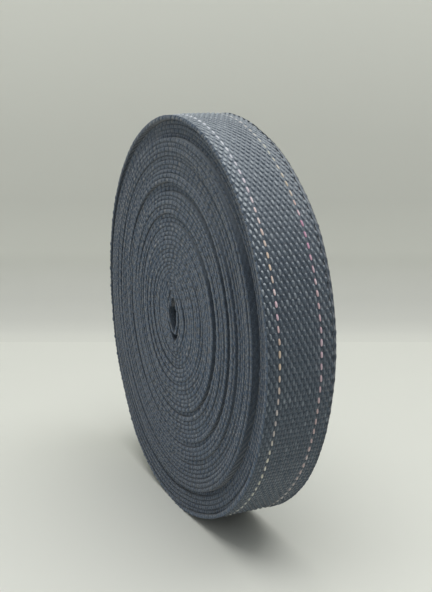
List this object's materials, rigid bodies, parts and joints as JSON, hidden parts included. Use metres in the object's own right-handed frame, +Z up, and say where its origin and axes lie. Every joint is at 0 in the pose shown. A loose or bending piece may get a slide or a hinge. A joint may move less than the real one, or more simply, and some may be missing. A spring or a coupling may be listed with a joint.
{
  "type": "roll of cotton webbing",
  "caption": "Flat strip of woven cotton webbing wound on itself without a core into a disc that stands on its edge, with an oval eye in the middle.",
  "frame": {"origin": "bottom centre of the roll's box, on the surface that it stands on", "axes": "+Z up, +Y along the roll's axis, +X along the surface; the better side of the roll faces -Y"},
  "size_m": [0.108, 0.0198, 0.1082],
  "materials": {
    "cotton": "matt grey-blue plain-woven cotton with two off-white contrast yarns"
  },
  "bodies": {
    "root": {"webbing_roll": "cotton"}
  },
  "joints": []
}
